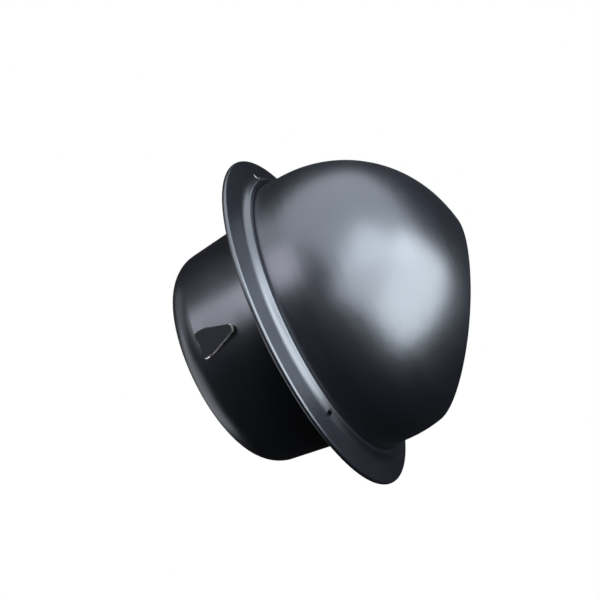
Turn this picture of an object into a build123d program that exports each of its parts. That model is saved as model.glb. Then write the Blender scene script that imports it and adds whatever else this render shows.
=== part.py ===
"""Round hooded outlet for a 100 mm ventilation duct, with a gravity flap in its collar.

Millimetres. The origin is the centre of the duct collar in the plane of the wall.
+Y runs into the wall along the duct, -Y out towards the weather, +Z is up.
Turned sections are drawn on Plane.XY with x as the radius and y along the duct.
"""
from math import atan2, cos, radians, sin, sqrt, tan
import os

from build123d import *

os.makedirs("parts", exist_ok=True)

# ---------------------------------------------------------------- driving sizes
sheet = 0.8                 # stainless sheet of the hood and small pressings
collar_sheet = 1.2          # thicker sheet of the collar, which carries the barbs
flange_r = 70.0             # outside of the rolled edge
hem_thick = 2.2             # folded edge, front to back
hem_stand = 1.0             # rolled edge to the wall, taken up by the gasket
hem_return = 2.9            # flat part folded back behind the flange
flange_cone = 13.0          # flange rises this many degrees towards the dome
rise_r = 4.0                # hollow bend from the flange into the steep side of the rim
rise_turn = 64.0            # steepness of the rim's side, degrees
rim_r = 59.65               # where the rim's side and its flat top would meet
rim_high = 4.2              # flat top of the rim in front of the flange's outer edge
rim_bend_r = 0.9            # tight bends along the rim
lip_gap = 0.15              # rim's turned-down lip to the dome
lip_clear = 0.1             # lip's edge to the bend of the collar's skirt
dome_r = 57.1
dome_rise = 0.93            # rounded part's height as a share of the dome's radius
dome_knuckle = 0.914        # knuckle radius as a share of the dome's radius
dome_high = 66.3            # flange front to the crown before the mouth is cut
mouth_tilt = 50.5           # mouth's normal, degrees forward of straight down
mouth_share = 0.7345        # mouth's plane from the flange front's centre, as a share of dome_high
mouth_shift = 5.6           # up the mouth's plane to the middle of the opening
mouth_edge_r = 3.0
mouth_r = 31.5

spigot_r = 49.9             # raised bead at the collar's root, passes into a 100 mm duct
spigot_land = 4.5           # straight part of the bead past the wall
taper_start_r = 48.1        # collar next to the bead
taper_start = 6.4
taper_end_r = 45.4
taper_end = 31.5
curl_r = 12.7               # end of the collar rolled inwards
curl_turn = 72.0
plate_bend_r = 1.6
skirt_gap = 0.1             # collar's upturned skirt outside the rim's lip
skirt_head = 0.8            # skirt's edge below the inside of the rim's top
skirt_bend_r = 1.8

barb_w = 10.2               # lanced barbs that bite on the duct
barb_root = 31.0
barb_square = 26.9          # where the barb's sides begin to close in
barb_tip = 15.0
barb_tip_r = 1.6
barb_slot = 0.5             # cut round each barb
barb_reach = 49.8           # radius reached by the barbs' tips
barb_angles = (140.0, 260.0, 20.0)   # from straight down, turning towards -X

gasket_in_r = 53.0
gasket_out_r = 65.4

screw_r = 1.0               # M2 set screws, which hold the dome in the rim
screw_high = 2.25           # above the flange's outer edge
screw_sunk = 0.25           # outer end below the surface of the rim's side
screw_bite = 0.7            # tip past the outside of the dome's wall
screw_clear = 0.1
thread_clear = 0.03
screw_angles = (95.0, 215.0, 335.0)
socket_r = 0.6
socket_deep = 1.2
dome_seat = 0.05            # dome's edge above the collar's plate

mesh_thick = 0.6            # insect screen behind the mouth
mesh_r = 35.4
mesh_pitch = 3.6
mesh_wire = 0.7
mesh_margin = 3.4
ring_in_r = 31.7
ring_out_r = 36.0
ring_thick = 0.8
rivet_r = 1.2
rivet_circle = 34.0
rivet_head_r = 2.0
rivet_head = 0.8
rivet_count = 6

seat_gap = 0.1              # flap seat inside the collar
seat_thick = 1.0
seat_front = 21.0
seat_lip = 28.4             # front face of the seat's lip
seat_hole_r = 36.4
seat_flat = 28.6            # height of the flat across the top of the hole

seal_thick = 3.5
seal_w = 2.6
seal_in_r = 36.8
flap_gap = 0.2              # flap to seal at rest

flap_thick = 0.8
flap_r = 39.5
flap_top = 32.0
hinge_y = 25.6
hinge_z = 36.0
pin_r = 1.5
pin_half = 20.6
pin_run = 0.05              # pin in its bushes
knuckle_r = 2.5
knuckle_in = 4.0
knuckle_out = 15.3
strap_bottom = 20.0
ear_x = 16.5                # inner face of each ear
ear_thick = 1.0
ear_r = 3.5                 # rounded front of each ear, round the pin
bush_r = 2.1
bush_head_r = 2.7
bush_head = 0.8
bush_fit = 0.02
clip_x = 18.9
clip_thick = 0.6
clip_r = 2.4
groove_r = 1.15
weight_w = 26.0
weight_h = 6.0
weight_thick = 3.0
weight_z = -31.0
strap_rivet_r = 1.2
strap_rivet_z = 23.5
small_head_r = 2.1
small_head = 0.7

# ---------------------------------------------------------------- derived sizes
flange_front = -(hem_stand + hem_thick)
flange_back = flange_front + sheet
hem_r = hem_thick / 2
cone = radians(flange_cone)
rise = radians(rise_turn)
# the rim's side, from the end of its bend at the top down to the hollow bend
top_x = rim_r - rim_bend_r * tan(rise / 2)
side_x = top_x + rim_bend_r * sin(rise)
side_z = rim_high - rim_bend_r * (1 - cos(rise))
cone_x = side_x + rise_r * (sin(rise) - sin(cone))
cone_z = side_z - rise_r * (cos(cone) - cos(rise))
side_run = (cone_z - (flange_r - hem_r - cone_x) * tan(cone)) / (sin(rise) - cos(rise) * tan(cone))
rise_cx = side_x + side_run * cos(rise) + rise_r * sin(rise)
rise_cz = side_z - side_run * sin(rise) + rise_r * cos(rise)
lip_r = dome_r + lip_gap
skirt_r = lip_r + sheet + skirt_gap + collar_sheet
skirt_high = rim_high - sheet - skirt_head
lip_foot = flange_back - skirt_bend_r - lip_clear
screw_out = rise_cx - sqrt(rise_r**2 - (rise_cz - screw_high) ** 2) - screw_sunk
dome_edge = flange_back - collar_sheet - dome_seat

knuckle_drop = dome_rise * dome_r
dome_straight = dome_high - knuckle_drop
dome_knuckle_r = dome_knuckle * dome_r
mouth_dist = mouth_share * dome_high

tilt = radians(mouth_tilt)
mouth_n = Vector(0, -sin(tilt), -cos(tilt))
mouth_up = Vector(0, -cos(tilt), sin(tilt))
mouth_foot = Vector(0, flange_front, 0) + mouth_n * mouth_dist
mouth_mid = mouth_foot + mouth_up * mouth_shift

# crown arc that meets the knuckle arc smoothly and is level on the axis
knuckle_x = dome_r - dome_knuckle_r
crown_r = (knuckle_x**2 + knuckle_drop**2 - dome_knuckle_r**2) / (2 * (knuckle_drop - dome_knuckle_r))
crown_half = atan2(knuckle_x, crown_r - knuckle_drop)

# the flat pieces of the mouth lie on planes behind its lip
lip_plane = Plane(mouth_mid - mouth_n * sheet, x_dir=(1, 0, 0), z_dir=mouth_n)
ring_plane = lip_plane.offset(-mesh_thick)
tail_plane = ring_plane.offset(-ring_thick)
face_plane = lip_plane.offset(sheet)

taper_slope = (taper_start_r - taper_end_r) / (taper_end - taper_start)
taper_turn = atan2(taper_start_r - taper_end_r, taper_end - taper_start)


def dome_outline(inset, start):
    """Half section of the dome, closed along the axis, drawn in the open BuildLine."""
    r_foot = dome_r - inset
    y_straight = flange_front - dome_straight
    y_crown = flange_front - dome_high + inset
    r_k = dome_knuckle_r - inset
    half = (radians(90) - crown_half) / 2
    top = (knuckle_x + r_k * sin(crown_half), y_straight - r_k * cos(crown_half))
    mid = (knuckle_x + r_k * cos(half), y_straight - r_k * sin(half))
    c_y = flange_front - dome_high + crown_r
    c_mid = ((crown_r - inset) * sin(crown_half / 2), c_y - (crown_r - inset) * cos(crown_half / 2))
    Line((0, start), (r_foot, start))
    Line((r_foot, start), (r_foot, y_straight))
    ThreePointArc((r_foot, y_straight), mid, top)
    ThreePointArc(top, c_mid, (0, y_crown))
    Line((0, y_crown), (0, start))


def radial(angle, height):
    """Plane on the duct's axis at one height, looking out along a radius at this angle from down."""
    a = radians(angle)
    out = Vector(-sin(a), 0, -cos(a))
    return Plane((0, height, 0), x_dir=(0, 1, 0), z_dir=out)


# ---------------------------------------------------------------- hood
# outside of the dome, with the mouth's plane cut across it and the edge rounded over
with BuildPart() as dome_block:
    with BuildSketch(Plane.XY):
        with BuildLine():
            dome_outline(0, dome_edge)
        make_face()
    revolve(axis=Axis.Y)
    split(bisect_by=Plane(mouth_foot, z_dir=mouth_n), keep=Keep.BOTTOM)
    cut_face = faces().sort_by(Axis(mouth_foot, mouth_n))[-1]
    fillet(cut_face.edges(), radius=mouth_edge_r)

# inside of the dome, one sheet thickness in
with BuildPart() as dome_hollow:
    with BuildSketch(Plane.XY):
        with BuildLine():
            dome_outline(sheet, dome_edge + 1)
        make_face()
    revolve(axis=Axis.Y)
    split(bisect_by=Plane(mouth_foot - mouth_n * sheet, z_dir=mouth_n), keep=Keep.BOTTOM)
    cut_face = faces().sort_by(Axis(mouth_foot, mouth_n))[-1]
    fillet(cut_face.edges(), radius=mouth_edge_r - sheet)

with BuildPart() as hood_shell:
    add(dome_block.part)
    add(dome_hollow.part, mode=Mode.SUBTRACT)
    # opening in the mouth, leaving a lip for the screen
    with BuildSketch(face_plane):
        Circle(mouth_r)
    extrude(amount=-sheet * 3, mode=Mode.SUBTRACT)
    with BuildSketch(face_plane):
        with PolarLocations(rivet_circle, rivet_count, start_angle=30):
            Circle(rivet_r + screw_clear)
    extrude(amount=-sheet * 2, mode=Mode.SUBTRACT)
    # holes that the set screws' tips enter
    for angle in screw_angles:
        with BuildSketch(radial(angle, flange_front - screw_high).offset(dome_r - 3)):
            Circle(screw_r + screw_clear)
        extrude(amount=5, mode=Mode.SUBTRACT)
hood_shell.part.label = "hood_shell"
export_step(hood_shell.part, "parts/hood_shell.step")

# ---------------------------------------------------------------- flange with its raised rim
with BuildPart() as base_flange:
    # rolled edge, flange, rim and turned-down lip as one strip of bent sheet
    with BuildSketch(Plane.XY):
        with BuildLine():
            hem_x = flange_r - hem_r
            hollow_y = flange_front - rise_cz
            bend_y = flange_front - rim_high + rim_bend_r
            hollow_mid = (cone + rise) / 2
            c45 = cos(radians(45))
            Line((hem_x - hem_return, -hem_stand), (hem_x, -hem_stand))
            ThreePointArc((hem_x, -hem_stand), (flange_r, -hem_stand - hem_r), (hem_x, flange_front))
            cone_end = (rise_cx - rise_r * sin(cone), hollow_y + rise_r * cos(cone))
            side_end = (rise_cx - rise_r * sin(rise), hollow_y + rise_r * cos(rise))
            side_top = (side_x, flange_front - side_z)
            Line((hem_x, flange_front), cone_end)
            ThreePointArc(
                cone_end,
                (rise_cx - rise_r * sin(hollow_mid), hollow_y + rise_r * cos(hollow_mid)),
                side_end,
            )
            Line(side_end, side_top)
            ThreePointArc(
                side_top,
                (top_x + rim_bend_r * sin(rise / 2), bend_y - rim_bend_r * cos(rise / 2)),
                (top_x, flange_front - rim_high),
            )
            Line((top_x, flange_front - rim_high), (lip_r + rim_bend_r, flange_front - rim_high))
            ThreePointArc(
                (lip_r + rim_bend_r, flange_front - rim_high),
                (lip_r + rim_bend_r * (1 - c45), bend_y - rim_bend_r * c45),
                (lip_r, bend_y),
            )
            Line((lip_r, bend_y), (lip_r, lip_foot))
            offset(amount=sheet, side=Side.RIGHT)
        make_face()
    revolve(axis=Axis.Y)
    # clear through the rim's side, threaded through its lip
    for angle in screw_angles:
        with BuildSketch(radial(angle, flange_front - screw_high).offset(lip_r + sheet)):
            Circle(screw_r + screw_clear)
        extrude(amount=flange_r - lip_r, mode=Mode.SUBTRACT)
        with BuildSketch(radial(angle, flange_front - screw_high).offset(dome_r)):
            Circle(screw_r + thread_clear)
        extrude(amount=sheet * 2, mode=Mode.SUBTRACT)
base_flange.part.label = "base_flange"
export_step(base_flange.part, "parts/base_flange.step")

# ---------------------------------------------------------------- collar
with BuildPart() as collar:
    with BuildSketch(Plane.XY):
        with BuildLine():
            bend_x = spigot_r + plate_bend_r
            Line((skirt_r, flange_front - skirt_high), (skirt_r, flange_back - skirt_bend_r))
            ThreePointArc(
                (skirt_r, flange_back - skirt_bend_r),
                (skirt_r - skirt_bend_r * (1 - c45), flange_back - skirt_bend_r * (1 - c45)),
                (skirt_r - skirt_bend_r, flange_back),
            )
            Line((skirt_r - skirt_bend_r, flange_back), (bend_x, flange_back))
            ThreePointArc(
                (bend_x, flange_back),
                (bend_x - plate_bend_r * c45, flange_back + plate_bend_r * (1 - c45)),
                (spigot_r, flange_back + plate_bend_r),
            )
            Line((spigot_r, flange_back + plate_bend_r), (spigot_r, spigot_land))
            Line((spigot_r, spigot_land), (taper_start_r, taper_start))
            Line((taper_start_r, taper_start), (taper_end_r, taper_end))
            curl_x = taper_end_r - curl_r * cos(taper_turn)
            curl_y = taper_end - curl_r * sin(taper_turn)
            turn_mid = taper_turn + radians(curl_turn) / 2
            turn_end = taper_turn + radians(curl_turn)
            ThreePointArc(
                (taper_end_r, taper_end),
                (curl_x + curl_r * cos(turn_mid), curl_y + curl_r * sin(turn_mid)),
                (curl_x + curl_r * cos(turn_end), curl_y + curl_r * sin(turn_end)),
            )
            offset(amount=collar_sheet, side=Side.LEFT)
        make_face()
    revolve(axis=Axis.Y)
    # windows that the barbs are lanced from
    for angle in barb_angles:
        with BuildSketch(radial(angle, 0).offset(taper_end_r - 6)):
            with BuildLine():
                half = barb_w / 2 + barb_slot
                tip = barb_tip_r + barb_slot
                Polyline(
                    (barb_root, -half), (barb_square, -half), (barb_tip + tip * 0.5, -tip * 0.9),
                    (barb_tip - barb_slot, 0), (barb_tip + tip * 0.5, tip * 0.9),
                    (barb_square, half), (barb_root, half), (barb_root, -half),
                )
            make_face()
        extrude(amount=12, mode=Mode.SUBTRACT)
    # the barbs themselves, bent out so that their tips stand off the wall
    root_r = taper_end_r + taper_slope * (taper_end - barb_root)
    for angle in barb_angles:
        lift = atan2(barb_reach - root_r, barb_root - barb_tip)
        a = radians(angle)
        out = Vector(-sin(a), 0, -cos(a))
        z_dir = out * cos(lift) + Vector(0, 1, 0) * sin(lift)
        x_dir = Vector(0, 1, 0) * cos(lift) - out * sin(lift)
        origin = out * root_r + Vector(0, barb_root, 0)
        run = (barb_root - barb_tip) / cos(lift)
        square = (barb_root - barb_square) / cos(lift)
        with BuildSketch(Plane(origin, x_dir=x_dir, z_dir=z_dir)):
            with BuildLine():
                Polyline(
                    (0.6, -barb_w / 2), (-square, -barb_w / 2), (-run + barb_tip_r * 0.6, -barb_tip_r),
                    (-run + barb_tip_r * 0.1, -barb_tip_r * 0.5), (-run + barb_tip_r * 0.1, barb_tip_r * 0.5),
                    (-run + barb_tip_r * 0.6, barb_tip_r), (-square, barb_w / 2), (0.6, barb_w / 2),
                    (0.6, -barb_w / 2),
                )
            make_face()
        extrude(amount=-collar_sheet)
    # slots in the skirt for the set screws
    for angle in screw_angles:
        with BuildSketch(radial(angle, flange_front - screw_high).offset(skirt_r - 2)):
            Circle(screw_r + screw_clear)
            with Locations((-screw_high, 0)):
                Rectangle(2 * screw_high, 2 * (screw_r + screw_clear))
        extrude(amount=4, mode=Mode.SUBTRACT)
collar.part.label = "collar"
export_step(collar.part, "parts/collar.step")

# ---------------------------------------------------------------- gasket on the wall side
with BuildPart() as wall_gasket:
    with BuildSketch(Plane.XZ.offset(-flange_back)):
        Circle(gasket_out_r)
        Circle(gasket_in_r, mode=Mode.SUBTRACT)
    extrude(amount=flange_back)
wall_gasket.part.label = "wall_gasket"
export_step(wall_gasket.part, "parts/wall_gasket.step")

# ---------------------------------------------------------------- set screws
with BuildPart() as hood_screws:
    for angle in screw_angles:
        place = radial(angle, flange_front - screw_high).offset(screw_out)
        with BuildSketch(place):
            Circle(screw_r)
        extrude(amount=-(screw_out - dome_r + screw_bite))
        with BuildSketch(place):
            RegularPolygon(socket_r, 6)
        extrude(amount=-socket_deep, mode=Mode.SUBTRACT)
hood_screws.part.label = "hood_screws"
export_step(hood_screws.part, "parts/hood_screws.step")

# ---------------------------------------------------------------- insect screen and its ring
with BuildPart() as insect_screen:
    with BuildSketch(lip_plane):
        Circle(mesh_r)
        open_w = mesh_pitch - mesh_wire
        reach = mesh_r - mesh_margin
        rows = int(reach / mesh_pitch) + 1
        spots = []
        for i in range(-rows, rows + 1):
            for j in range(-rows, rows + 1):
                far_x = abs(i) * mesh_pitch + open_w / 2
                far_y = abs(j) * mesh_pitch + open_w / 2
                if sqrt(far_x**2 + far_y**2) < reach:
                    spots.append((i * mesh_pitch, j * mesh_pitch))
        with Locations(*spots):
            Rectangle(open_w, open_w, mode=Mode.SUBTRACT)
        with PolarLocations(rivet_circle, rivet_count, start_angle=30):
            Circle(rivet_r + screw_clear, mode=Mode.SUBTRACT)
    extrude(amount=-mesh_thick)
insect_screen.part.label = "insect_screen"
export_step(insect_screen.part, "parts/insect_screen.step")

with BuildPart() as screen_ring:
    with BuildSketch(ring_plane):
        Circle(ring_out_r)
        Circle(ring_in_r, mode=Mode.SUBTRACT)
        with PolarLocations(rivet_circle, rivet_count, start_angle=30):
            Circle(rivet_r + screw_clear, mode=Mode.SUBTRACT)
    extrude(amount=-ring_thick)
screen_ring.part.label = "screen_ring"
export_step(screen_ring.part, "parts/screen_ring.step")

with BuildPart() as screen_rivets:
    with BuildSketch(face_plane):
        with PolarLocations(rivet_circle, rivet_count, start_angle=30):
            Circle(rivet_r)
    extrude(amount=-(sheet + mesh_thick + ring_thick))
    with BuildSketch(face_plane):
        with PolarLocations(rivet_circle, rivet_count, start_angle=30):
            Circle(rivet_head_r)
    extrude(amount=rivet_head, taper=35)
    with BuildSketch(tail_plane):
        with PolarLocations(rivet_circle, rivet_count, start_angle=30):
            Circle(rivet_head_r - 0.2)
    extrude(amount=-rivet_head, taper=30)
screen_rivets.part.label = "screen_rivets"
export_step(screen_rivets.part, "parts/screen_rivets.step")

# ---------------------------------------------------------------- flap seat in the collar
seat_back = seat_lip + seat_thick


def seat_r(y):
    return taper_end_r + taper_slope * (taper_end - y) - collar_sheet / cos(taper_turn) - seat_gap


with BuildPart() as seat_ring:
    with BuildSketch(Plane.XY):
        with BuildLine():
            Polyline(
                (seat_r(seat_front), seat_front), (seat_r(seat_back), seat_back), (30, seat_back),
                (30, seat_lip), (seat_r(seat_lip) - seat_thick, seat_lip),
                (seat_r(seat_front) - seat_thick, seat_front), (seat_r(seat_front), seat_front),
            )
        make_face()
    revolve(axis=Axis.Y)
    # the hole is flat along the top, where the lip carries the hinge
    with BuildSketch(Plane.XZ.offset(-seat_lip)):
        with BuildLine():
            flat_x = sqrt(30.5**2 - seat_flat**2)
            Line((-flat_x, seat_flat), (flat_x, seat_flat))
            ThreePointArc((flat_x, seat_flat), (0, 30.5), (-flat_x, seat_flat))
        make_face()
    extrude(amount=-seat_thick)
    with BuildSketch(Plane.XZ.offset(-seat_lip + 1)):
        Circle(seat_hole_r)
        with Locations((0, seat_flat + 20)):
            Rectangle(100, 40, mode=Mode.SUBTRACT)
    extrude(amount=-seat_thick - 2, mode=Mode.SUBTRACT)
    for side in (-1, 1):
        with BuildSketch(Plane.YZ.offset(side * (ear_x + ear_thick / 2))):
            with Locations((hinge_y, hinge_z)):
                Circle(ear_r)
            with Locations(((seat_lip + 0.4 + hinge_y) / 2, hinge_z)):
                Rectangle(seat_lip + 0.4 - hinge_y, 2 * ear_r)
            with Locations((hinge_y, hinge_z)):
                Circle(bush_r + bush_fit, mode=Mode.SUBTRACT)
        extrude(amount=ear_thick / 2, both=True)
seat_ring.part.label = "seat_ring"
export_step(seat_ring.part, "parts/seat_ring.step")

with BuildPart() as seat_seal:
    with BuildSketch(Plane.XZ.offset(-seat_lip)):
        Circle(seal_in_r + seal_w)
        with Locations((0, seat_flat + 0.3 + seal_w + 20)):
            Rectangle(100, 40, mode=Mode.SUBTRACT)
        with BuildSketch(mode=Mode.SUBTRACT):
            Circle(seal_in_r)
            with Locations((0, seat_flat + 0.3 + 20)):
                Rectangle(100, 40, mode=Mode.SUBTRACT)
    extrude(amount=seal_thick)
seat_seal.part.label = "seat_seal"
export_step(seat_seal.part, "parts/seat_seal.step")

with BuildPart() as hinge_bushes:
    for side in (-1, 1):
        with BuildSketch(Plane.YZ.offset(side * (ear_x + ear_thick))):
            with Locations((hinge_y, hinge_z)):
                Circle(bush_r)
        extrude(amount=-side * ear_thick)
        with BuildSketch(Plane.YZ.offset(side * ear_x)):
            with Locations((hinge_y, hinge_z)):
                Circle(bush_head_r)
        extrude(amount=-side * bush_head)
        with BuildSketch(Plane.YZ.offset(side * (ear_x + 2))):
            with Locations((hinge_y, hinge_z)):
                Circle(pin_r + pin_run)
        extrude(amount=-side * 5, mode=Mode.SUBTRACT)
hinge_bushes.part.label = "hinge_bushes"
export_step(hinge_bushes.part, "parts/hinge_bushes.step")

# ---------------------------------------------------------------- flap
strap_front = hinge_y - knuckle_r
strap_back = strap_front + sheet
flap_back = strap_back + flap_thick
weight_front = strap_back - weight_thick
strap_spots = [(-11.0, strap_rivet_z), (0.0, strap_rivet_z), (11.0, strap_rivet_z)]
weight_spots = [(-9.0, weight_z), (9.0, weight_z)]

with BuildPart() as flap_plate:
    with BuildSketch(Plane.XZ.offset(-strap_back)):
        Circle(flap_r)
        with Locations((0, flap_top + 20)):
            Rectangle(100, 40, mode=Mode.SUBTRACT)
        with Locations(*strap_spots, *weight_spots):
            Circle(strap_rivet_r + thread_clear, mode=Mode.SUBTRACT)
    extrude(amount=-flap_thick)
    # pressed bead that stiffens the plate
    with BuildSketch(Plane.XZ.offset(-strap_back)):
        Circle(19.0)
        Circle(17.4, mode=Mode.SUBTRACT)
    extrude(amount=0.6, taper=20)
flap_plate.part.label = "flap_plate"
export_step(flap_plate.part, "parts/flap_plate.step")

with BuildPart() as hinge_strap:
    with BuildSketch(Plane.YZ.offset(-knuckle_out)):
        with Locations((hinge_y, hinge_z)):
            Circle(knuckle_r)
        with Locations((strap_front + sheet / 2, (strap_bottom + hinge_z) / 2)):
            Rectangle(sheet, hinge_z - strap_bottom)
        with Locations((hinge_y, hinge_z)):
            Circle(pin_r + 0.01, mode=Mode.SUBTRACT)
    extrude(amount=2 * knuckle_out)
    with Locations((0, hinge_y, hinge_z + 1.0)):
        Box(2 * knuckle_in, 8, 7.4, mode=Mode.SUBTRACT)
    with BuildSketch(Plane.XZ.offset(-strap_front + 1)):
        with Locations(*strap_spots):
            Circle(strap_rivet_r + thread_clear)
    extrude(amount=-sheet - 2, mode=Mode.SUBTRACT)
hinge_strap.part.label = "hinge_strap"
export_step(hinge_strap.part, "parts/hinge_strap.step")

with BuildPart() as strap_rivets:
    with BuildSketch(Plane.XZ.offset(-strap_front)):
        with Locations(*strap_spots):
            Circle(strap_rivet_r)
    extrude(amount=-(sheet + flap_thick))
    with BuildSketch(Plane.XZ.offset(-strap_front)):
        with Locations(*strap_spots):
            Circle(small_head_r)
    extrude(amount=small_head, taper=35)
strap_rivets.part.label = "strap_rivets"
export_step(strap_rivets.part, "parts/strap_rivets.step")

with BuildPart() as flap_weight:
    with BuildSketch(Plane.XZ.offset(-strap_back)):
        with Locations((0, weight_z)):
            RectangleRounded(weight_w, weight_h, 1.0)
        with Locations(*weight_spots):
            Circle(strap_rivet_r + thread_clear, mode=Mode.SUBTRACT)
    extrude(amount=weight_thick)
    fillet(faces().sort_by(Axis.Y)[0].outer_wire().edges(), radius=0.5)
flap_weight.part.label = "flap_weight"
export_step(flap_weight.part, "parts/flap_weight.step")

with BuildPart() as weight_rivets:
    with BuildSketch(Plane.XZ.offset(-weight_front)):
        with Locations(*weight_spots):
            Circle(strap_rivet_r)
    extrude(amount=-(weight_thick + flap_thick))
    with BuildSketch(Plane.XZ.offset(-weight_front)):
        with Locations(*weight_spots):
            Circle(small_head_r)
    extrude(amount=small_head, taper=35)
weight_rivets.part.label = "weight_rivets"
export_step(weight_rivets.part, "parts/weight_rivets.step")

with BuildPart() as hinge_pin:
    with BuildSketch(Plane.YZ.offset(-pin_half)):
        with Locations((hinge_y, hinge_z)):
            Circle(pin_r)
    extrude(amount=2 * pin_half)
    for side in (-1, 1):
        with BuildSketch(Plane.YZ.offset(side * clip_x)):
            with Locations((hinge_y, hinge_z)):
                Circle(pin_r + 1)
                Circle(groove_r, mode=Mode.SUBTRACT)
        extrude(amount=(clip_thick + 0.05) * side, mode=Mode.SUBTRACT)
    chamfer(edges().filter_by(GeomType.CIRCLE).sort_by(Axis.X)[0], length=0.3)
    chamfer(edges().filter_by(GeomType.CIRCLE).sort_by(Axis.X)[-1], length=0.3)
hinge_pin.part.label = "hinge_pin"
export_step(hinge_pin.part, "parts/hinge_pin.step")

with BuildPart() as pin_clips:
    for side in (-1, 1):
        with BuildSketch(Plane.YZ.offset(side * (clip_x + 0.02))):
            with Locations((hinge_y, hinge_z)):
                Circle(clip_r)
                Circle(groove_r + 0.02, mode=Mode.SUBTRACT)
            with Locations((hinge_y, hinge_z - clip_r)):
                Rectangle(1.7, 2 * clip_r, mode=Mode.SUBTRACT)
        extrude(amount=clip_thick * side)
pin_clips.part.label = "pin_clips"
export_step(pin_clips.part, "parts/pin_clips.step")
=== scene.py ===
"""Round hooded duct outlet: finishes, woven screen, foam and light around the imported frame."""
import math

import bpy
from mathutils import Matrix, Vector


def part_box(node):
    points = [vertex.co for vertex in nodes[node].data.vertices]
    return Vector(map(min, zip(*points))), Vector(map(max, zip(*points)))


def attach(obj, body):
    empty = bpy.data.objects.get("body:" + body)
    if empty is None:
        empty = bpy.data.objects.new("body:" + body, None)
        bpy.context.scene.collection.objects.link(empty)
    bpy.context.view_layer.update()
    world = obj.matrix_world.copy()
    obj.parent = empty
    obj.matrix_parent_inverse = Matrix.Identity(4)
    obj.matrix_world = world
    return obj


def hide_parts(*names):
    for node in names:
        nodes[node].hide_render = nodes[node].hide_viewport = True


MM = 0.001

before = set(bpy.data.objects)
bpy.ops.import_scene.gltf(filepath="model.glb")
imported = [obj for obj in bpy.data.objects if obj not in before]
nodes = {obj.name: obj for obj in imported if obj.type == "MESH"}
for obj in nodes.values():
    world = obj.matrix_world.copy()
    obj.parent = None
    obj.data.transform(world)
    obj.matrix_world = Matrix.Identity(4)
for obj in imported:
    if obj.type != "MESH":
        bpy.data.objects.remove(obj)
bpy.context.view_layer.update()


# ------------------------------------------------------------------ shader wiring
class Wire:
    """One output socket, so that shader maths reads as plain expressions."""

    def __init__(self, shop, socket):
        self.shop = shop
        self.socket = socket

    def _math(self, op, *values):
        return self.shop.node("ShaderNodeMath", {"operation": op}, dict(enumerate(values)))

    def __add__(self, o):
        return self._math("ADD", self, o)

    def __radd__(self, o):
        return self._math("ADD", o, self)

    def __mul__(self, o):
        return self._math("MULTIPLY", self, o)

    def __rmul__(self, o):
        return self._math("MULTIPLY", o, self)

    def __truediv__(self, o):
        return self._math("DIVIDE", self, o)

    def above(self, o):
        return self._math("GREATER_THAN", self, o)

    def below(self, o):
        return self._math("LESS_THAN", self, o)

    def abs(self):
        return self._math("ABSOLUTE", self)

    def sqrt(self):
        return self._math("SQRT", self)

    def most(self, o):
        return self._math("MAXIMUM", self, o)


class Shop:
    """The node tree of a material or of the world, with short ways to add to it."""

    def __init__(self, owner, end="ShaderNodeOutputMaterial"):
        self.owner = owner
        owner.use_nodes = True
        self.tree = owner.node_tree
        self.tree.nodes.clear()
        self.out = self.tree.nodes.new(end)

    def node(self, kind, settings=None, inputs=None, output=0):
        made = self.tree.nodes.new(kind)
        for key, value in (settings or {}).items():
            setattr(made, key, value)
        for key, value in (inputs or {}).items():
            if isinstance(value, Wire):
                self.tree.links.new(value.socket, made.inputs[key])
            else:
                made.inputs[key].default_value = value
        return Wire(self, made.outputs[output])

    def ray(self, kind):
        """1 on rays of this kind, such as Camera or Glossy, and 0 on all others."""
        return self.node("ShaderNodeLightPath", output=f"Is {kind} Ray")

    def place(self):
        return self.node("ShaderNodeTexCoord", output="Object")

    def facing(self):
        return self.node("ShaderNodeTexCoord", output="Normal")

    def stretched(self, vector, scale):
        return self.node("ShaderNodeMapping", {}, {"Vector": vector, "Scale": scale})

    def split(self, vector):
        made = self.node("ShaderNodeSeparateXYZ", {}, {0: vector}).socket.node
        return [Wire(self, output) for output in made.outputs]

    def noise(self, vector, scale, detail=3.0, rough=0.5):
        inputs = {"Vector": vector, "Scale": scale, "Detail": detail, "Roughness": rough}
        return self.node("ShaderNodeTexNoise", {}, inputs)

    def cells(self, vector, scale, output="Distance"):
        inputs = {"Vector": vector, "Scale": scale}
        return self.node("ShaderNodeTexVoronoi", {"feature": "F1"}, inputs, output)

    def step(self, value, low, high):
        """0 below low, 1 above high, smooth between."""
        return self.node(
            "ShaderNodeMapRange",
            {"interpolation_type": "SMOOTHSTEP"},
            {"Value": value, "From Min": low, "From Max": high},
        )

    def tint(self, factor, first, second):
        return self.node(
            "ShaderNodeMix",
            {"data_type": "RGBA"},
            {0: factor, 6: _colour(first), 7: _colour(second)},
            output=2,
        )

    def bump(self, height, distance, strength=1.0, normal=None):
        inputs = {"Height": height, "Distance": distance, "Strength": strength}
        if normal is not None:
            inputs["Normal"] = normal
        return self.node("ShaderNodeBump", {}, inputs)

    def end_with(self, shader):
        """Feed the shader to the tree's output and give back the material or world."""
        self.tree.links.new(shader.socket, self.out.inputs["Surface"])
        return self.owner

    def surface(self, **inputs):
        names = {key.replace("_", " "): value for key, value in inputs.items()}
        return self.end_with(self.node("ShaderNodeBsdfPrincipled", {}, names))


def material(name):
    return Shop(bpy.data.materials.new(name))


def _colour(value):
    return value if isinstance(value, Wire) else (*value, 1.0)


# ------------------------------------------------------------------ finishes
# The barbs and their windows lie in this band of the collar, in depth and in distance from its axis.
barb_front = 13.5 * MM
barb_back = 31.8 * MM
barb_inner_r = 42.5 * MM
barb_outer_r = 50.2 * MM
face_lean = 0.55  # faces that lean further than this towards or away from the axis keep their coat


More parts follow.
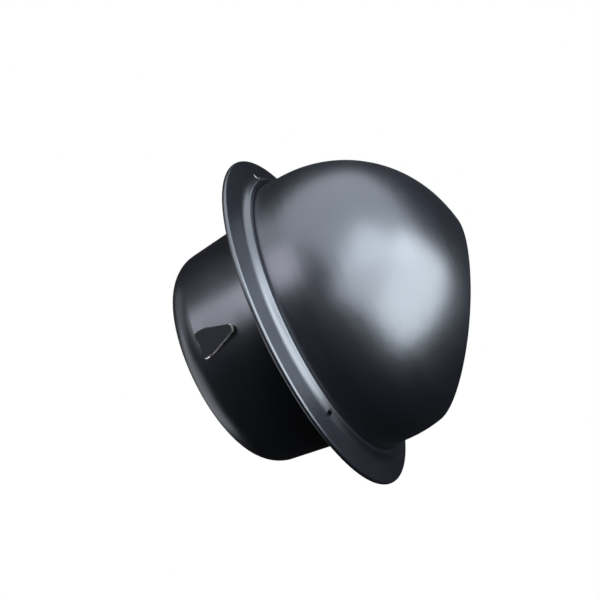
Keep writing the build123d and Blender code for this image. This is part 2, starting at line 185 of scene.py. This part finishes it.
def satin_black_coat():
    s = material("satin_black_coat")
    p = s.place()
    x, y, z = s.split(p)
    nx, _, nz = s.split(s.facing())
    reach = (x * x + z * z).sqrt()
    # the barbs are cut after coating, so their sheared edges are bare
    side_on = ((nx * x + nz * z) / reach).abs()
    in_depth = y.above(barb_front) * y.below(barb_back)
    in_wall = reach.above(barb_inner_r) * reach.below(barb_outer_r)
    cut_edge = in_depth * in_wall * side_on.below(face_lean)
    cloud = s.noise(p, 38.0, 3.0)
    peel = s.noise(p, 900.0, 2.0)
    grit = s.noise(p, 5200.0, 1.0)
    specks = s.step(s.cells(p, 420.0), 0.075, 0.045)
    dust = specks * s.step(s.noise(p, 60.0, 1.0), 0.56, 0.62)
    smear = s.noise(s.stretched(p, (1.0, 3.2, 1.0)), 26.0, 4.0, 0.62)
    colour = s.tint(cloud, (0.0016, 0.0017, 0.0036), (0.0030, 0.0032, 0.0062))
    colour = s.tint(dust * 0.4, colour, (0.20, 0.21, 0.23))
    colour = s.tint(cut_edge, colour, (0.74, 0.72, 0.64))
    rough = 0.27 + smear * 0.10 + peel * 0.03 + dust * 0.3 + cut_edge * 0.2
    lie = s.bump(peel, 0.00003, 0.35)
    lie = s.bump(grit, 0.000006, 0.5, lie)
    return s.surface(
        Base_Color=colour, Roughness=rough, Metallic=cut_edge * 0.3, Normal=lie, IOR=2.15,
        Specular_Tint=(0.86, 0.92, 1.0, 1.0))


def grey(value):
    return (value, value, value)


def stainless(name, tone=0.60, grain=(1.0, 1.0, 14.0), rough=0.3):
    s = material(name)
    p = s.place()
    lines = s.noise(s.stretched(p, grain), 520.0, 4.0, 0.6)
    cloud = s.noise(p, 45.0, 2.0)
    dull = (tone * 0.86, tone * 0.86, tone * 0.84)
    bright = (tone * 1.08, tone * 1.08, tone * 1.07)
    colour = s.tint(lines * 0.35, s.tint(cloud, dull, bright), grey(tone * 0.62))
    return s.surface(
        Base_Color=colour, Metallic=1.0, Roughness=rough - 0.06 + lines * 0.18,
        Normal=s.bump(lines, 0.00002, 0.35))


def blackened_steel():
    s = material("blackened_steel")
    p = s.place()
    haze = s.noise(p, 900.0, 3.0)
    colour = s.tint(haze, (0.030, 0.031, 0.034), (0.075, 0.078, 0.085))
    return s.surface(
        Base_Color=colour, Metallic=1.0, Roughness=0.30 + haze * 0.2,
        Normal=s.bump(haze, 0.00001, 0.3))


def zinc_sheet():
    s = material("zinc_sheet")
    p = s.place()
    spangle, _, _ = s.split(s.cells(p, 210.0, "Color"))
    haze = s.noise(p, 70.0, 4.0)
    colour = s.tint(spangle, (0.36, 0.38, 0.40), (0.60, 0.62, 0.64))
    colour = s.tint(haze * 0.4, colour, (0.46, 0.47, 0.48))
    return s.surface(
        Base_Color=colour, Metallic=1.0, Roughness=0.34 + spangle * 0.16,
        Normal=s.bump(haze, 0.00003, 0.3))


def flap_aluminium():
    s = material("flap_aluminium")
    p = s.place()
    lines = s.noise(s.stretched(p, (22.0, 1.0, 1.0)), 160.0, 5.0, 0.65)
    haze = s.noise(p, 30.0, 4.0)
    colour = s.tint(lines, (0.62, 0.63, 0.65), (0.78, 0.79, 0.80))
    colour = s.tint(s.step(haze, 0.5, 0.75) * 0.35, colour, (0.52, 0.52, 0.52))
    return s.surface(
        Base_Color=colour, Metallic=1.0, Roughness=0.30 + haze * 0.16,
        Normal=s.bump(lines, 0.00002, 0.4))


def foam(name, tone=0.028):
    s = material(name)
    p = s.place()
    pores = s.cells(p, 1500.0)
    big = s.cells(p, 620.0)
    haze = s.noise(p, 90.0, 3.0)
    # 0 in the pores and 1 on the surface between them: it sinks the pores in the bump and paints shade into
    # them
    pore_relief_and_shade = s.step(pores, 0.10, 0.42) * s.step(big, 0.06, 0.30)
    # painted shade: the pores are coloured darker, as the shade that falls in their hollows
    colour = s.tint(pore_relief_and_shade, grey(tone * 0.35), grey(tone * 1.1))
    colour = s.tint(haze * 0.4, colour, (tone * 1.7, tone * 1.7, tone * 1.8))
    return s.surface(Base_Color=colour, Roughness=0.92, Normal=s.bump(pore_relief_and_shade, 0.00018, 0.8))


def nylon():
    s = material("nylon")
    p = s.place()
    haze = s.noise(p, 240.0, 3.0)
    colour = s.tint(haze, (0.70, 0.68, 0.61), (0.82, 0.80, 0.74))
    return s.surface(
        Base_Color=colour, Roughness=0.42 + haze * 0.12, Normal=s.bump(haze, 0.00003, 0.3))


finish = {
    "coat": satin_black_coat(),
    "steel": stainless("brushed_stainless"),
    "wire": stainless("screen_wire", 0.52, (1.0, 1.0, 1.0), 0.34),
    "screw": stainless("screw_steel", 0.50, (1.0, 1.0, 1.0), 0.26),
    "blackened": blackened_steel(),
    "zinc": zinc_sheet(),
    "aluminium": flap_aluminium(),
    "foam": foam("closed_cell_foam"),
    "nylon": nylon(),
}
dress = {
    "hood_shell": "coat",
    "base_flange": "coat",
    "collar": "coat",
    "wall_gasket": "foam",
    "hood_screws": "blackened",
    "insect_screen": "wire",
    "screen_ring": "steel",
    "screen_rivets": "aluminium",
    "seat_ring": "zinc",
    "seat_seal": "foam",
    "hinge_bushes": "nylon",
    "flap_plate": "aluminium",
    "hinge_strap": "steel",
    "strap_rivets": "aluminium",
    "flap_weight": "zinc",
    "weight_rivets": "aluminium",
    "hinge_pin": "steel",
    "pin_clips": "screw",
}
for node, key in dress.items():
    mesh = nodes[node].data
    mesh.materials.clear()
    mesh.materials.append(finish[key])


# ------------------------------------------------------------------ woven insect screen
weave_pitch = 1.8 * MM
wire_r = 0.145 * MM
wire_wave = 0.15 * MM            # crimp either side of the screen's middle
wire_sides = 8
wave_steps = 8                   # straight bits along one wave
screen_margin = 0.3 * MM         # wire ends inside the flat screen's edge
merge_gap = 0.01 * MM
smooth_angle = math.radians(50)
mouth_tilt = math.radians(50.5)  # mouth's normal, forward of straight down


def select(*pieces):
    """Select these objects and nothing else, and make the first of them active."""
    bpy.ops.object.select_all(action="DESELECT")
    for piece in pieces:
        piece.select_set(True)
    if pieces:
        bpy.context.view_layer.objects.active = pieces[0]


def crimp():
    """One full wave of wire along X, over one neighbour and under the next."""
    select()
    bpy.ops.mesh.primitive_circle_add(
        vertices=wire_sides, radius=wire_r, location=(0, 0, wire_wave), rotation=(0, math.pi / 2, 0))
    wave = bpy.context.object
    bpy.ops.object.mode_set(mode="EDIT")
    bpy.ops.mesh.select_all(action="SELECT")
    run = 2 * weave_pitch / wave_steps
    heights = [wire_wave * math.cos(2 * math.pi * i / wave_steps) for i in range(wave_steps + 1)]
    for here, there in zip(heights, heights[1:]):
        bpy.ops.mesh.extrude_edges_move(TRANSFORM_OT_translate={"value": (run, 0, there - here)})
    bpy.ops.object.mode_set(mode="OBJECT")
    bpy.ops.object.transform_apply(location=True, rotation=True, scale=True)
    return wave


def screen_wire(wave, offset, reach, turned, flip):
    """A wire across the screen, as many waves long as its chord allows."""
    waves = int(math.sqrt(reach * reach - offset * offset) / weave_pitch)
    select(wave)
    bpy.ops.object.duplicate()
    wire = bpy.context.object
    row = wire.modifiers.new("row", "ARRAY")
    row.count = waves
    row.use_merge_vertices = True
    row.merge_threshold = merge_gap
    bpy.ops.object.modifier_apply(modifier=row.name)
    wire.location = (-waves * weave_pitch, 0, 0)
    if flip:
        wire.scale = (1, 1, -1)
    bpy.ops.object.transform_apply(location=True, rotation=False, scale=True)
    wire.location = (0, offset, 0)
    if turned:
        wire.rotation_euler = (0, 0, math.pi / 2)
        wire.location = (offset, 0, 0)
    bpy.ops.object.transform_apply(location=True, rotation=True, scale=False)
    return wire


def woven_screen():
    """Crossed wires over and under each other, in place of the flat screen."""
    low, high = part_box("insect_screen")
    middle = (Vector(low) + Vector(high)) / 2
    reach = (high[0] - low[0]) / 2 - screen_margin
    wave = crimp()
    each_side = int(reach / weave_pitch - 0.5)  # wires either side of the middle one
    wires = []
    for turned in (False, True):
        for i in range(-each_side, each_side + 1):
            # a whole number of waves each side keeps the crossings in step
            wires.append(screen_wire(wave, i * weave_pitch, reach, turned, (i % 2 == 0) != turned))
    bpy.data.objects.remove(wave)
    select(*wires)
    bpy.ops.object.join()
    screen = bpy.context.object
    screen.name = "woven_screen"
    bpy.ops.object.mode_set(mode="EDIT")
    bpy.ops.mesh.select_all(action="SELECT")
    bpy.ops.mesh.fill_holes(sides=wire_sides)
    bpy.ops.mesh.normals_make_consistent(inside=False)
    bpy.ops.object.mode_set(mode="OBJECT")
    screen.rotation_euler = (math.pi - mouth_tilt, 0, 0)
    screen.location = middle
    bpy.ops.object.transform_apply(location=True, rotation=True, scale=True)
    bpy.ops.object.shade_smooth_by_angle(angle=smooth_angle)
    screen.data.materials.append(finish["wire"])
    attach(screen, "housing")
    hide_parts("insect_screen")


woven_screen()


# ------------------------------------------------------------------ floor and room
# Both are white to the camera and nearly dark to the coat's reflections.
floor_size = 40
floor_depth = 0.9  # below the collar's axis, clear of views from underneath
floor_tone = (0.30, 0.30, 0.31, 1.0)
floor_in_gloss = 0.008
room_level = 0.0096
white = (1, 1, 1, 1)

select()
bpy.ops.mesh.primitive_plane_add(size=floor_size, location=(0, 0, -floor_depth))
floor = bpy.context.object
floor.name = "floor"
pale = material("pale_floor")
camera_ray, glossy_ray, through_ray = (pale.ray(kind) for kind in ("Camera", "Glossy", "Transmission"))
lit = pale.node("ShaderNodeBsdfDiffuse", {}, {"Color": floor_tone})
glow = camera_ray + glossy_ray * floor_in_gloss + through_ray
shining = pale.node("ShaderNodeEmission", {}, {"Color": white, "Strength": glow})
by_ray = {0: camera_ray.most(glossy_ray).most(through_ray), 1: lit, 2: shining}
floor.data.materials.append(pale.end_with(pale.node("ShaderNodeMixShader", {}, by_ray)))

room = Shop(bpy.data.worlds.new("room"), "ShaderNodeOutputWorld")
room_glow = room.ray("Camera") * (1.0 - room_level) + room_level
bpy.context.scene.world = room.end_with(
    room.node("ShaderNodeBackground", {}, {"Color": white, "Strength": room_glow}))


# ------------------------------------------------------------------ camera
camera_turn = math.radians(-159.89)  # around Z, from +X
camera_rise = math.radians(33.431)   # above the horizon
camera_roll = math.radians(-37.83)   # counter-clockwise, about its own line of sight
camera_far = 0.55
camera_focus = Vector((6.779, 1.617, 7.948)) * MM

cam_back = Vector((
    math.cos(camera_rise) * math.cos(camera_turn),
    math.cos(camera_rise) * math.sin(camera_turn),
    math.sin(camera_rise),
))
level_right = Vector((0, 0, 1)).cross(cam_back).normalized()
level_up = cam_back.cross(level_right)
cam_right = level_right * math.cos(camera_roll) + level_up * math.sin(camera_roll)
cam_up = cam_back.cross(cam_right)

camera = bpy.data.objects.new("camera", bpy.data.cameras.new("camera"))
bpy.context.collection.objects.link(camera)
camera.data.lens = 83.03
camera.data.sensor_width = 36.0
camera.matrix_world = Matrix((cam_right, cam_up, cam_back)).transposed().to_4x4()
camera.location = camera_focus + cam_back * camera_far
bpy.context.scene.camera = camera


# ------------------------------------------------------------------ soft lamps
lamp_aim = Vector((0, -20, 0)) * MM  # on the axis, behind the mouth and in front of the flange


def soft_box(name, turn, rise, far, wide, tall, power, colour):
    """Area lamp placed around the camera's own axes: turn to its right and rise above it, in degrees."""
    t = math.radians(turn)
    r = math.radians(rise)
    direction = (
        cam_right * math.sin(t) * math.cos(r) + cam_up * math.sin(r) + cam_back * math.cos(t) * math.cos(r))
    lamp = bpy.data.lights.new(name, "AREA")
    lamp.shape = "RECTANGLE"
    lamp.size = wide
    lamp.size_y = tall
    lamp.energy = power
    lamp.color = colour
    holder = bpy.data.objects.new(name, lamp)
    bpy.context.collection.objects.link(holder)
    holder.matrix_world = (-direction).to_track_quat("-Z", "Y").to_matrix().to_4x4()
    holder.location = lamp_aim + direction * far


# name, turn and rise in degrees, distance, width, height, watts, colour
soft_box("window_front", 54, 12, 1.0, 1.58, 0.86, 24.5, (0.92, 0.97, 1.0))
soft_box("sky_front", 15, 31, 1.05, 1.30, 0.62, 9.2, (0.91, 0.95, 1.0))
soft_box("sky_over", 0, 75, 1.0, 1.9, 1.65, 19.0, (0.89, 0.94, 1.0))
soft_box("window_left", -60, 24, 1.1, 0.62, 0.50, 3.6, (0.95, 0.92, 1.0))
soft_box("rear_fill", -112, 8, 1.1, 0.70, 0.60, 0.7, (0.92, 0.95, 1.0))
soft_box("rear_window", -116.57, -29.21, 1.1, 0.95, 0.95, 2.4, (0.94, 0.96, 1.0))

bpy.context.scene.view_settings.view_transform = "Standard"
